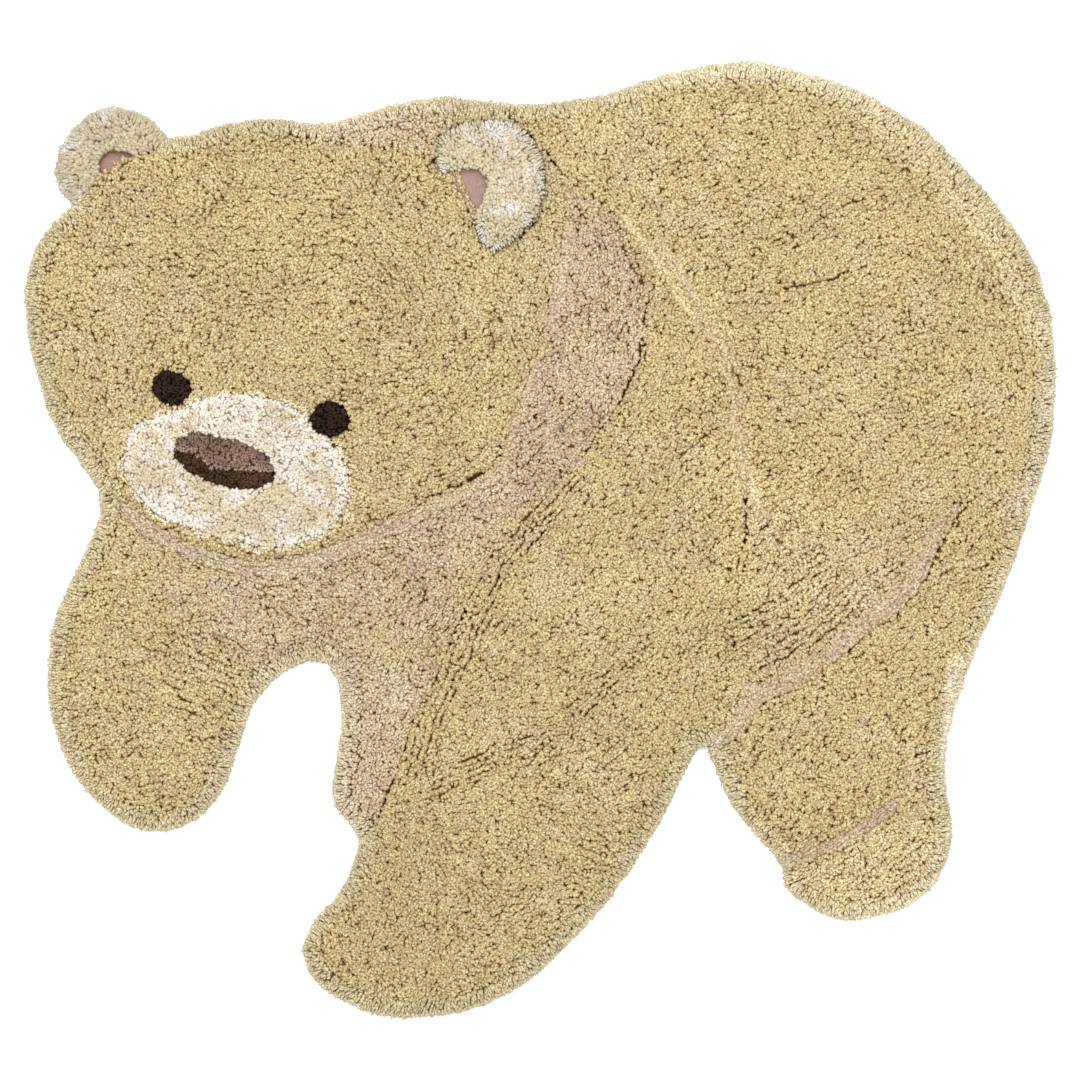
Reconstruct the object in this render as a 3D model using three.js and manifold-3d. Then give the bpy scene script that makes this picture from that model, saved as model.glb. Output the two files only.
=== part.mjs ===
// Bear shaped rug for a child's room, lying flat, in millimetres.
// A cut canvas cloth carries fields of shag pile, and a flap ear is sewn on top of the neck.
// X runs to the right of the bear as it is seen from above, Y to its back, and Z is up.
import * as THREE from 'three';
import { mergeVertices } from 'three/addons/utils/BufferGeometryUtils.js';
import Module from 'manifold-3d';

const wasm = await Module();
wasm.setup();

// Driving dimensions
const pieceGap = 0.3;
const clothThickness = 2;
const clothMargin = 2.5;
const pileFoot = clothThickness + pieceGap;
const belowAll = -10;
const aboveAll = 80;
const lockPitch = 25;
const lockReach = 1.5;
const lockReachSpread = 1;
const lockNotch = 4;
const seamPitch = 24;
const trimPitch = 16;
const latticePitch = 28;
const latticeShift = 5;
const lump = { height: 1.8, width: 47, swellShare: 0.6 };
const lumpBend = { x: 1.7, y: 1.3, widthX: 61, widthY: 83 };
const rimRound = { drop: 11, rise: 14, inset: 13, segments: 2 };
const seamRound = { drop: 8, rise: 12, inset: 7, segments: 1 };
const trimRound = { drop: 6, rise: 10, inset: 5, segments: 1 };
const eyeSize = { width: 46, height: 42, points: 12 };
const flapSeat = 19;
const creaseWidth = 11;
const creaseFloor = 12;
const noseReach = 60;
const sameSpot = 0.5;
const sharpestMitre = 0.5;

// Heights of the pile above the cloth
const pileHeight = {
  head: 27, neck: 22, back: 26, shoulder: 25, belly: 20, hindLeg: 25, foreleg: 24, farForeleg: 18,
  muzzle: 28, noseTop: 31, noseFront: 29, eye: 29, leftEar: 20, flapEar: 13,
};

const colour = {
  cloth: 0xb79a8d, gold: 0xcdb688, mauve: 0xc6ad92, cream: 0xdccdb2,
  noseTop: 0x7f685a, noseFront: 0x4c3a2d, eye: 0x2a1c14,
};

// The rug's edge, clockwise from above. Each row of a table holds x and y. A stretch is smooth
// all along. The stretches meet at the corners: two beside the left ear, the heel nick and the
// notch of the forelegs.
const rim = {
  leftEar: [[-541, 391], [-560, 410], [-565, 435], [-553, 467], [-523, 498], [-488, 505],
    [-455, 490], [-434, 466]],
  crown: [[-434, 466], [-412, 469], [-360, 486], [-308, 491], [-255, 484], [-197, 500],
    [-145, 513], [-92, 515]],
  back: [[-23, 507], [70, 517], [146, 541], [233, 557], [303, 545], [373, 522], [454, 473],
    [533, 390], [578, 319]],
  rump: [[599, 233], [597, 128], [580, 58], [539, -58], [503, -140], [478, -209], [470, -273], [480, -337]],
  hindPaw: [[472, -381], [442, -419], [396, -438], [349, -441], [303, -419], [281, -397], [285, -385]],
  hindShin: [[285, -385], [275, -367], [227, -312], [206, -267], [203, -247], [192, -234], [181, -245]],
  nearForeleg: [[134, -337], [80, -419], [24, -480], [-28, -523], [-92, -550], [-145, -556]],
  nearPaw: [[-197, -550], [-251, -523], [-277, -483], [-265, -449], [-228, -405], [-208, -351]],
  farForeleg: [[-208, -351], [-218, -335], [-238, -312], [-240, -279], [-231, -221], [-234, -160],
    [-249, -141]],
  chest: [[-273, -141], [-298, -152], [-330, -183], [-347, -223], [-365, -279], [-395, -322]],
  leftPaw: [[-439, -340], [-488, -326], [-538, -279], [-567, -209], [-573, -145], [-562, -85], [-530, -15]],
  cheek: [[-510, 43], [-530, 84], [-560, 123], [-585, 193], [-599, 272], [-592, 328], [-572, 363],
    [-541, 391]],
};
const rimStretches = [
  [...rim.leftEar],
  [...rim.crown, ...rim.back, ...rim.rump, ...rim.hindPaw],
  [...rim.hindShin, ...rim.nearForeleg, ...rim.nearPaw],
  [...rim.farForeleg, ...rim.chest, ...rim.leftPaw, ...rim.cheek],
];

// The seams where one field of pile ends and the next begins. Where a seam reaches the rug's edge,
// its last point lies past it. Rows hold x and y.
const seam = {
  earRoot: [[-590, 391], [-541, 391], [-525, 410], [-506, 428], [-475, 445], [-451, 452],
    [-434, 466], [-420, 484]],
  cheek: [[-534, 58], [-510, 56], [-488, 47], [-453, 23], [-389, -9], [-331, -24], [-273, -16], [-226, 2]],
  jaw: [[-226, 2], [-162, 30], [-104, 59], [-55, 86], [-30, 142], [-8, 203], [10, 256], [6, 302],
    [-20, 331], [-54, 338]],
  earEdge: [[-54, 338], [-74, 370], [-98, 413], [-116, 438]],
  nape: [[-116, 438], [-130, 450], [-185, 457], [-255, 465], [-311, 477], [-331, 512]],
  withers: [[-48, 535], [-40, 508], [-13, 474], [30, 426], [70, 386], [117, 337]],
  flank: [[117, 337], [163, 287], [201, 233], [230, 166], [239, 110], [241, 37]],
  bellyLeft: [[241, 37], [237, -58], [215, -174], [197, -227], [186, -265]],
  neck: [[117, 337], [125, 290], [122, 233], [105, 177], [47, 87], [6, 12], [-40, -37], [-75, -70]],
  elbow: [[-75, -70], [-96, -102], [-113, -150]],
  forelegEdge: [[-113, -150], [-135, -188], [-158, -247], [-183, -312], [-205, -349], [-232, -379]],
  farTop: [[-258, -158], [-240, -140], [-218, -134], [-180, -140], [-145, -148], [-113, -150]],
  breast: [[-534, 30], [-510, 30], [-482, -6], [-453, -58], [-412, -105], [-366, -142],
    [-323, -177], [-296, -202]],
  bellyTop: [[241, 37], [270, 33], [308, 23], [358, 13], [401, 13], [456, 26], [496, 48]],
  thigh: [[496, 48], [470, 6], [446, -53], [417, -84], [383, -109], [333, -152], [296, -174], [262, -188]],
  groin: [[262, -188], [242, -220], [217, -238], [206, -265]],
  hip: [[496, 48], [524, 50], [552, 63], [570, 81], [608, 102]],
  ankle: [[284, -379], [306, -369], [334, -357], [367, -343], [387, -327], [411, -312]],
};

// Closed outlines of the smaller fields, clockwise. Rows hold x and y.
const patch = {
  muzzle: [[-483, 86], [-474, 130], [-434, 147], [-370, 170], [-313, 165], [-276, 147], [-240, 110],
    [-222, 68], [-228, 30], [-262, 2], [-316, -9], [-389, 7], [-440, 26], [-470, 55]],
  nose: [[-426, 99], [-418, 117], [-396, 124], [-359, 116], [-333, 109], [-312, 94], [-306, 78], [-318, 63],
    [-349, 59], [-398, 73]],
  flapEar: [[-116, 463], [-98, 476], [-73, 483], [-32, 483], [-9, 459], [4, 423], [-2, 387], [-23, 360],
    [-54, 338], [-74, 370], [-98, 413], [-116, 438]],
  flapEarBare: [[-116, 425], [-98, 430], [-84, 434], [-66, 429], [-60, 416], [-65, 397],
    [-74, 378], [-92, 372]],
  leftEarBare: [[-515, 440], [-511, 447], [-498, 455], [-475, 451], [-466, 441], [-490, 420], [-510, 424]],
};
const noseLine = [[-440, 103], [-412, 101], [-384, 88], [-365, 83], [-336, 80], [-290, 80]];
const eyeCentre = { left: [-428, 177], right: [-244, 141] };

// Corners far outside the edge that close the outlines of the fields there. Rows hold x and y.
const beyond = {
  leftOfEar: [[-600, 391], [-600, 560], [-420, 560]],
  crown: [[-331, 560], [-420, 560]],
  leftOfHead: [[-640, 391], [-640, 58]],
  nape: [[-331, 560], [-48, 560]],
  throat: [[-560, 30], [-560, 58]],
  underChest: [[-280, -202]],
  back: [[608, 600], [-48, 600]],
  foreleg: [[186, -600], [-320, -600], [-320, -379]],
  farForeleg: [[-270, -379], [-270, -158]],
  hindLeg: [[640, 102], [640, -480], [206, -480]],
  leftForeleg: [[-296, -380], [-640, -380], [-640, 30]],
};

const vectors = (rows) => rows.map(([x, y]) => new THREE.Vector2(x, y));
const reversed = (rows) => [...rows].reverse();

// Evenly spaced points on the smooth curve through a table's rows
function spaced(rows, pitch) {
  const curve = new THREE.SplineCurve(vectors(rows));
  return curve.getSpacedPoints(Math.max(1, Math.round(curve.getLength() / pitch)));
}

// Joins stretches end to end without doubled points
function joined(...stretches) {
  const points = stretches.flat();
  return points.filter((point, i) => point.distanceTo(points[(i + 1) % points.length]) > sameSpot);
}

function closedCurve(rows, pitch) {
  return joined(spaced([...rows, rows[0]], pitch));
}

// Moves a clockwise outline outwards, or inwards where the distance is negative
function grown(points, distance) {
  return points.map((point, i) => {
    const before = points[(i + points.length - 1) % points.length];
    const after = points[(i + 1) % points.length];
    const arriving = point.clone().sub(before).normalize();
    const leaving = after.clone().sub(point).normalize();
    const outward = new THREE.Vector2(-arriving.y - leaving.y, arriving.x + leaving.x).normalize();
    const mitre = Math.max(sharpestMitre, -outward.x * arriving.y + outward.y * arriving.x);
    return point.clone().addScaledVector(outward, distance / mitre);
  });
}

// A fraction from 0 to 1 that stays the same for the same pair of whole numbers
function scatter(i, j) {
  const [stepI, stepJ, gain] = [12.9898, 78.233, 43758.5453];
  const wave = Math.sin(i * stepI + j * stepJ) * gain;
  return wave - Math.floor(wave);
}

function solidOf(geometry) {
  geometry.deleteAttribute('normal');
  geometry.deleteAttribute('uv');
  const merged = mergeVertices(geometry, 1e-4);
  return new wasm.Manifold(new wasm.Mesh({
    numProp: 3,
    vertProperties: new Float32Array(merged.attributes.position.array),
    triVerts: new Uint32Array(merged.index.array),
  }));
}

function geometryOf(solid) {
  const mesh = solid.getMesh();
  const geometry = new THREE.BufferGeometry();
  geometry.setAttribute('position', new THREE.BufferAttribute(mesh.vertProperties, 3));
  geometry.setIndex(new THREE.BufferAttribute(mesh.triVerts, 1));
  geometry.computeVertexNormals();
  return geometry;
}

// A closed block through copies of one clockwise outline, each at its own height and with its own inset
function loft(points, rings) {
  const count = points.length;
  const positions = rings
    .flatMap(({ z, inset }) => grown(points, -inset).flatMap((point) => [point.x, point.y, z]));
  const top = count * (rings.length - 1);
  const index = THREE.ShapeUtils.triangulateShape(points, [])
    .flatMap(([a, b, c]) => [a, c, b, top + a, top + b, top + c]);
  for (let low = 0; low < top; low += count) {
    for (let i = 0; i < count; i++) {
      const [a, b] = [low + i, low + (i + 1) % count];
      index.push(a, b + count, b, a, a + count, b + count);
    }
  }
  const geometry = new THREE.BufferGeometry();
  geometry.setAttribute('position', new THREE.Float32BufferAttribute(positions, 3));
  geometry.setIndex(index);
  return solidOf(geometry);
}

// An upright block of an outline from one height to another
const block = (points, bottom, top) => loft(points, [{ z: bottom, inset: 0 }, { z: top, inset: 0 }]);

// A block whose upper edge is drawn in on a quarter ellipse, starting at the shoulder
function roundedBlock(points, bottom, shoulder, round) {
  const rings = [{ z: bottom, inset: 0 }];
  for (let i = 0; i <= round.segments; i++) {
    const turn = i / round.segments * Math.PI / 2;
    rings.push({ z: shoulder + round.rise * Math.sin(turn), inset: round.inset * (1 - Math.cos(turn)) });
  }
  return loft(points, rings);
}

// The rise and fall of the shag at a place
function riseAt(x, y) {
  const acrossWave = Math.sin(x / lump.width + lumpBend.x * Math.sin(y / lumpBend.widthX));
  const alongWave = Math.cos(y / lump.width + lumpBend.y * Math.sin(x / lumpBend.widthY));
  const tuft = 2 * scatter(Math.round(x / latticePitch), Math.round(y / latticePitch)) - 1;
  return lump.height * (lump.swellShare * acrossWave * alongWave + tuft);
}

// A slab over a box of the rug that reaches below the pile's foot and has a lumpy top
function lumpySlab(bounds, height) {
  const cells = (low, high) => [Math.floor(low / latticePitch) - 1, Math.ceil(high / latticePitch) + 1];
  const [left, right] = cells(bounds.min.x, bounds.max.x);
  const [near, far] = cells(bounds.min.y, bounds.max.y);
  const [across, along] = [right - left, far - near];
  const [width, length, depth] = [across * latticePitch, along * latticePitch, height - belowAll];
  const geometry = new THREE.BoxGeometry(width, length, depth, across, along, 1);
  geometry.translate(left * latticePitch + width / 2, near * latticePitch + length / 2, height - depth / 2);
  const place = geometry.attributes.position;
  for (let i = 0; i < place.count; i++) {
    if (place.getZ(i) > 0) {
      const [x, y] = [place.getX(i), place.getY(i)];
      const [column, row] = [Math.round(x / latticePitch), Math.round(y / latticePitch)];
      const inside = column > left && column < right && row > near && row < far;
      place.setZ(i, height + riseAt(x, y));
      place.setX(i, x + inside * latticeShift * (2 * scatter(row, column) - 1));
      place.setY(i, y + inside * latticeShift * (2 * scatter(column + 7, row) - 1));
    }
  }
  return solidOf(geometry);
}

// The rug's edge with a lock of pile at every pitch: roots drawn in, tips reaching out
function lockedRim() {
  const points = [];
  rimStretches.forEach((rows, stretch) => {
    const curve = new THREE.SplineCurve(vectors(rows));
    const locks = Math.round(curve.getLength() / lockPitch);
    for (let i = 0; i < locks; i++) {
      const tipReach = lockReach + lockReachSpread * (2 * scatter(stretch, i) - 1);
      for (const [turn, reach] of [[i, i ? -lockNotch : 0], [i + 0.5, tipReach]]) {
        const along = curve.getTangentAt(turn / locks);
        const outward = new THREE.Vector2(-along.y, along.x);
        points.push(curve.getPointAt(turn / locks).addScaledVector(outward, reach));
      }
    }
  });
  return points;
}

function smoothRim() {
  return joined(...rimStretches.map((rows) => spaced(rows, lockPitch)));
}

const lockedEdge = lockedRim();

// A field of pile: a lumpy slab inside its seams, with the rug's own locks where it reaches the edge
function pileField(outline, height) {
  const inset = grown(outline, -pieceGap / 2);
  const rugBounds = new THREE.Box2().setFromPoints(lockedEdge);
  const bounds = new THREE.Box2().setFromPoints(outline).intersect(rugBounds);
  return lumpySlab(bounds, height)
    .intersect(roundedBlock(inset, 0, height - seamRound.drop, seamRound))
    .intersect(roundedBlock(lockedEdge, belowAll, height - rimRound.drop, rimRound));
}

// A small field inside a larger one, such as an eye
function trimField(outline, height) {
  const bounds = new THREE.Box2().setFromPoints(outline);
  return lumpySlab(bounds, height)
    .intersect(roundedBlock(outline, 0, height - trimRound.drop, trimRound));
}

// The room that a piece takes in the pile around it
const roomFor = (outline, bottom) => block(grown(outline, pieceGap), bottom, aboveAll);

const run = (name) => spaced(seam[name], seamPitch);
const back = (name) => reversed(run(name));
const field = {
  head: joined(
    back('cheek'), vectors(beyond.leftOfHead).reverse(), run('earRoot'), vectors(beyond.crown).reverse(),
    back('nape'), back('earEdge'), back('jaw'),
  ),
  leftEar: joined(vectors(beyond.leftOfEar), back('earRoot')),
  neck: joined(
    vectors(beyond.nape), run('withers'), run('neck'), run('elbow'), back('farTop'),
    vectors(beyond.underChest), back('breast'), vectors(beyond.throat), run('cheek'), run('jaw'),
    run('earEdge'), run('nape'),
  ),
  back: joined(back('withers'), vectors(beyond.back).reverse(), back('hip'), back('bellyTop'), back('flank')),
  shoulder: joined(
    run('flank'), run('bellyLeft'), vectors(beyond.foreleg), back('forelegEdge'), back('elbow'), back('neck'),
  ),
  belly: joined(run('bellyTop'), run('thigh'), run('groin'), back('bellyLeft')),
  hindLeg: joined(run('hip'), vectors(beyond.hindLeg), back('groin'), back('thigh')),
  foreleg: joined(run('breast'), vectors(beyond.leftForeleg)),
  farForeleg: joined(run('farTop'), run('forelegEdge'), vectors(beyond.farForeleg)),
  muzzle: closedCurve(patch.muzzle, trimPitch),
  nose: closedCurve(patch.nose, trimPitch),
  flapEar: closedCurve(patch.flapEar, trimPitch),
  flapEarBare: closedCurve(patch.flapEarBare, trimPitch),
  leftEarBare: closedCurve(patch.leftEarBare, trimPitch),
};

function eyeOutline([x, y]) {
  const { width, height, points } = eyeSize;
  const curve = new THREE.EllipseCurve(x, y, width / 2, height / 2, 0, 2 * Math.PI, true);
  return curve.getPoints(points).slice(0, points);
}
const leftEye = eyeOutline(eyeCentre.left);
const rightEye = eyeOutline(eyeCentre.right);

// The ankle's crease: a channel that narrows to both ends of its seam
function ankleCrease(height) {
  const middle = spaced(seam.ankle, seamPitch);
  const widths = middle.map((point, i) => creaseWidth / 2 * Math.sin(Math.PI * (i + 0.5) / middle.length));
  const side = (sign) => middle.map((point, i) => {
    const [before, after] = [middle[Math.max(i - 1, 0)], middle[Math.min(i + 1, middle.length - 1)]];
    const along = after.clone().sub(before).normalize();
    return point.clone().add(new THREE.Vector2(-along.y, along.x).multiplyScalar(sign * widths[i]));
  });
  return block(joined(side(1), side(-1).reverse()), creaseFloor, height + aboveAll);
}

// The nose is tufted in two browns that meet along its ridge
function noseHalf(height, upper) {
  const line = spaced(noseLine, trimPitch);
  const reach = new THREE.Vector2(0, upper ? noseReach : -noseReach);
  const past = [line.at(-1).clone().add(reach), line[0].clone().add(reach)];
  const half = upper ? joined(reversed(past), reversed(line)) : joined(line, past);
  return trimField(field.nose, height).intersect(block(grown(half, -pieceGap / 2), belowAll, aboveAll));
}

function materialOf(name) {
  return new THREE.MeshStandardMaterial({ color: colour[name], roughness: 0.95, metalness: 0 });
}

function piece(name, solid, finish) {
  const mesh = new THREE.Mesh(geometryOf(solid), materialOf(finish));
  mesh.name = name;
  return mesh;
}

// The pile's own frame starts at its foot, on the cloth
const muzzleRoom = roomFor(field.muzzle, belowAll);
const leftEyeRoom = roomFor(leftEye, belowAll);
const rightEyeRoom = roomFor(rightEye, belowAll);
const flapRoom = roomFor(field.flapEar, flapSeat - pieceGap);
const pile = new THREE.Group();
pile.position.z = pileFoot;
pile.add(
  piece('head_pile', pileField(field.head, pileHeight.head)
    .subtract(muzzleRoom).subtract(leftEyeRoom).subtract(rightEyeRoom).subtract(flapRoom), 'gold'),
  piece('neck_and_chest_pile', pileField(field.neck, pileHeight.neck).subtract(flapRoom), 'mauve'),
  piece('back_pile', pileField(field.back, pileHeight.back).subtract(flapRoom), 'gold'),
  piece('shoulder_and_foreleg_pile', pileField(field.shoulder, pileHeight.shoulder), 'gold'),
  piece('belly_pile', pileField(field.belly, pileHeight.belly), 'mauve'),
  piece('hind_leg_pile', pileField(field.hindLeg, pileHeight.hindLeg)
    .subtract(ankleCrease(pileHeight.hindLeg)), 'gold'),
  piece('left_foreleg_pile', pileField(field.foreleg, pileHeight.foreleg), 'gold'),
  piece('far_foreleg_pile', pileField(field.farForeleg, pileHeight.farForeleg), 'mauve'),
  piece('left_ear_pile', pileField(field.leftEar, pileHeight.leftEar)
    .subtract(roomFor(field.leftEarBare, belowAll)), 'cream'),
  piece('muzzle_pile', trimField(field.muzzle, pileHeight.muzzle)
    .subtract(leftEyeRoom).subtract(rightEyeRoom).subtract(roomFor(field.nose, belowAll)), 'cream'),
  piece('nose_top', noseHalf(pileHeight.noseTop, true), 'noseTop'),
  piece('nose_front', noseHalf(pileHeight.noseFront, false), 'noseFront'),
  piece('left_eye', trimField(leftEye, pileHeight.eye), 'eye'),
  piece('right_eye', trimField(rightEye, pileHeight.eye), 'eye'),
);

// The flap ear lies in a hollow of the neck's pile, and its bare cloth shows in front of its own pile
const flapEar = new THREE.Group();
flapEar.position.z = pileFoot + flapSeat;
const flapPile = trimField(field.flapEar, pileHeight.flapEar).subtract(roomFor(field.flapEarBare, belowAll));
const flapPileMesh = piece('flap_ear_pile', flapPile, 'cream');
flapPileMesh.position.z = clothThickness + pieceGap;
flapEar.add(piece('flap_ear_cloth', block(field.flapEar, 0, clothThickness), 'cloth'), flapPileMesh);

const backing = block(grown(smoothRim(), -clothMargin), 0, clothThickness);
const group = new THREE.Group();
group.add(piece('backing_cloth', backing, 'cloth'), pile, flapEar);

// The origin lies on the floor below the middle of the whole rug
const rugMiddle = new THREE.Box3().setFromObject(group, true).getCenter(new THREE.Vector3());
group.position.set(-rugMiddle.x, -rugMiddle.y, 0);

export default group;
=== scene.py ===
# Bear shaped shag rug for a child's room, lying on the floor and seen from straight above
import math
import bmesh
import bpy
import numpy as np
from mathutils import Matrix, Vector
from mathutils.bvhtree import BVHTree
from mathutils.kdtree import KDTree


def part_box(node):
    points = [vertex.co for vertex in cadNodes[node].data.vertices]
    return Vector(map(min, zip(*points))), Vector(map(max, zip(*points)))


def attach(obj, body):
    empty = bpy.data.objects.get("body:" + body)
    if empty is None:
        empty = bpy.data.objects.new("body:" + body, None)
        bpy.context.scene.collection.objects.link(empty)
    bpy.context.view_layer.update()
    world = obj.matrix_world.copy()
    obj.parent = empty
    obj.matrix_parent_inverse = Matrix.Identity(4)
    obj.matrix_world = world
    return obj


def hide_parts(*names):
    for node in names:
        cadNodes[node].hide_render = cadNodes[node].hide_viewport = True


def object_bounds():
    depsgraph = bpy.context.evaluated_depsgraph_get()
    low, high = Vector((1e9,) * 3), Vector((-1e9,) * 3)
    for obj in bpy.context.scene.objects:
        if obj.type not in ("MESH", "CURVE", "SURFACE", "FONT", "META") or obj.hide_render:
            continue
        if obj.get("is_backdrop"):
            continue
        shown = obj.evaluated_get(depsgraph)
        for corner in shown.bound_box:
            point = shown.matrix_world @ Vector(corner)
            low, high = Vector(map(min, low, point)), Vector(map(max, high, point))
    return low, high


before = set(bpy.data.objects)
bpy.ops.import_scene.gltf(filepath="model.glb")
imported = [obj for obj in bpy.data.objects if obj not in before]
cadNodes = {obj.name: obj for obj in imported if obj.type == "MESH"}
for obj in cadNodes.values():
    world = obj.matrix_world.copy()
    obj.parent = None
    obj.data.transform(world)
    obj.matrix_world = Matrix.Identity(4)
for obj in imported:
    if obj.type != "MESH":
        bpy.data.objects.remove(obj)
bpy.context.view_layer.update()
print("frame loaded")

# Lengths are in millimetres up to the point where a mesh is made
mm = 0.001

# Each field of pile: its yarn, the gap between tufts, the share of them that has sunk into pits, how ruffled
# it is, how plump its tufts are, and how much mauve, cream and brightness is in its yarn. A field that
# follows keeps the top of its solid, the others have their own
usualField = {"pitch": 3.35, "pits": 0.1, "ruffle": 1.0, "plump": 1.0, "mauve": 0.0, "cream": 0.0,
              "tone": 1.0, "follow": False}
eye = {"slot": "dark_shag", "pitch": 3.1, "pits": 0.35, "ruffle": 1.8, "tone": 0.92, "follow": True}
fields = {
    "head_pile": {"slot": "gold_shag", "tone": 0.925},
    "back_pile": {"slot": "gold_shag", "tone": 0.965},
    "shoulder_and_foreleg_pile": {"slot": "gold_shag", "tone": 0.94},
    "hind_leg_pile": {"slot": "gold_shag", "tone": 0.985},
    "left_foreleg_pile": {"slot": "gold_shag", "mauve": 0.05, "tone": 0.96},
    "neck_and_chest_pile": {"slot": "mauve_shag", "mauve": 0.35, "tone": 0.95},
    "belly_pile": {"slot": "mauve_shag", "mauve": 0.4, "tone": 0.99},
    "far_foreleg_pile": {"slot": "mauve_shag", "mauve": 0.8, "cream": 0.15, "tone": 0.97},
    "left_ear_pile": {"slot": "cream_shag", "ruffle": 0.6, "plump": 1.15, "cream": -0.6, "tone": 0.79},
    "muzzle_pile": {"slot": "cream_shag", "pitch": 3.1, "ruffle": 0.35, "cream": 0.4, "tone": 0.92,
                    "follow": True},
    "nose_top": {"slot": "taupe_shag", "pitch": 2.7, "follow": True},
    "nose_front": {"slot": "brown_shag", "pitch": 2.7, "ruffle": 1.3, "tone": 0.92, "follow": True},
    "left_eye": eye,
    "right_eye": eye,
    "flap_ear_pile": {"slot": "cream_shag", "pitch": 3.1, "ruffle": 0.4, "plump": 1.15, "cream": -0.12,
                      "tone": 0.86, "follow": True},
}
fields = {name: {**usualField, **field} for name, field in fields.items()}

pile = {
    "crown": 2.6,  # the solids' highest lumps over the usual top
    "core": 10, "coreFollow": 5,  # how far below the top the core of the pile lies; the core is painted dark as shade
    "coreLeast": 1.5,  # and how thick it is at least
    "rooted": 0.45,  # height of the roots, as a share of the pile
    "shortest": 3.5,
    "jitter": 0.32,
    "girth": 1.9,  # width of a tuft's shoulder, as a share of the gap between tufts
    "point": 3.0,  # height of the tip over the shoulder
    "loose": 0.65,  # how unevenly long the tufts are
    "lean": 2.4, "leanSize": 22,  # the smooth part of the lean, and how wide its eddies are
    "scatter": 1.2,  # the part that differs from tuft to tuft
    "swell": 1.3, "swellSize": 46,
    "pitDepth": 2.0,
    "calmSize": 62,  # width of the calm and the ruffled places
    "settle": 0.7,  # how much of the lean and the ruffles a smooth band takes away
}


def waves(x, y, size, seed):
    # Smooth random hills between -1 and 1, about one a size
    tile = 64
    cells = np.random.default_rng(seed).uniform(-1, 1, (tile, tile))
    column, row = np.floor(x / size).astype(int), np.floor(y / size).astype(int)
    u, v = x / size - column, y / size - row
    u, v = u * u * (3 - 2 * u), v * v * (3 - 2 * v)
    corner = lambda i, j: cells[(column + i) % tile, (row + j) % tile]
    low = corner(0, 0) * (1 - u) + corner(1, 0) * u
    high = corner(0, 1) * (1 - u) + corner(1, 1) * u
    return low * (1 - v) + high * v


def ease(low, high, value):
    share = np.clip((value - low) / (high - low), 0, 1)
    return share * share * (3 - 2 * share)


def nearness(distance, reach):
    # 1 on the spot, falling evenly to 0 at the reach
    return np.clip(1 - distance / reach, 0, 1)


def grooveAt(distance, width):
    return nearness(distance, width) ** 0.7


def lineAt(x, y, line, closed=False):
    # Distance to a line, and the way it runs there
    best, along = np.full(x.shape, 1e9), np.zeros((len(x), 2))
    ends = line + line[:1] if closed else line
    for (ax, ay), (bx, by) in zip(ends, ends[1:]):
        dx, dy = bx - ax, by - ay
        share = np.clip(((x - ax) * dx + (y - ay) * dy) / (dx * dx + dy * dy), 0, 1)
        distance = np.hypot(x - ax - share * dx, y - ay - share * dy)
        nearer = distance < best
        best = np.where(nearer, distance, best)
        along[nearer] = np.array([dx, dy]) / math.hypot(dx, dy)
    return best, along


def insideLine(x, y, line):
    inside = np.zeros(x.shape, bool)
    for (ax, ay), (bx, by) in zip(line, line[1:] + line[:1]):
        crosses = (ay > y) != (by > y)
        inside ^= crosses & (x < (bx - ax) * (y - ay) / (by - ay + 1e-9) + ax)
    return inside


def treeOf(points):
    tree = KDTree(len(points))
    for i, (x, y) in enumerate(points):
        tree.insert((x, y, 0), i)
    tree.balance()
    return tree


# Which way the pile runs: places as x and y, and the direction of its streaks in degrees
flow = [
    [-500, 330, 165], [-400, 420, 150], [-440, 180, 75], [-520, 120, 100], [-300, 330, 10], [-250, 200, 0],
    [-110, 350, 125], [-60, 250, 100], [-200, 80, 170], [-80, 120, 30], [-160, 470, 100], [60, 430, 110],
    [40, 330, 95], [60, 230, 80], [60, 100, 60], [20, 20, 58], [-60, -80, 65], [-80, -180, 65],
    [100, -40, 55], [120, 120, 50], [150, 260, 65], [40, -210, 35], [90, -190, 35], [-60, -280, 20],
    [-120, -300, 5], [120, -130, 48], [-20, -260, 25], [-60, -340, 150], [40, -330, 150], [-120, -380, 120],
    [-150, -440, 90], [-40, -470, 30], [160, -230, 45], [250, 400, 20], [360, 360, 25], [250, 300, 5],
    [400, 250, 20], [520, 250, 100], [300, 180, 170], [420, 130, 5], [520, 60, 60], [280, 30, 45],
    [350, -40, 40], [260, -100, 48], [420, -60, 45], [350, -170, 42], [480, -60, 30], [420, -240, 50],
    [300, -300, 45], [400, -400, 30], [-300, -80, 160], [-480, -80, 160], [-440, -150, 158],
    [-400, -220, 150], [-480, -250, 30], [-180, -240, 80],
]


def headingAt(x, y):
    # Way the pile runs, from the nearest places of the flow table
    places = np.array(flow, float)
    near = 1 / (np.hypot(x[:, None] - places[:, 0], y[:, None] - places[:, 1]) ** 3 + 1e3)
    twice = np.radians(places[:, 2]) * 2
    return np.arctan2(near @ np.sin(twice), near @ np.cos(twice)) / 2


# Tufts gather in clumps, with an open crevice to some of the neighbours
clump = {"size": 11, "stretch": 2.2, "gather": 0.16, "dome": 0.7, "creviceDepth": 1.8, "creviceWidth": 2.0,
         "openShare": 0.35}


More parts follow.
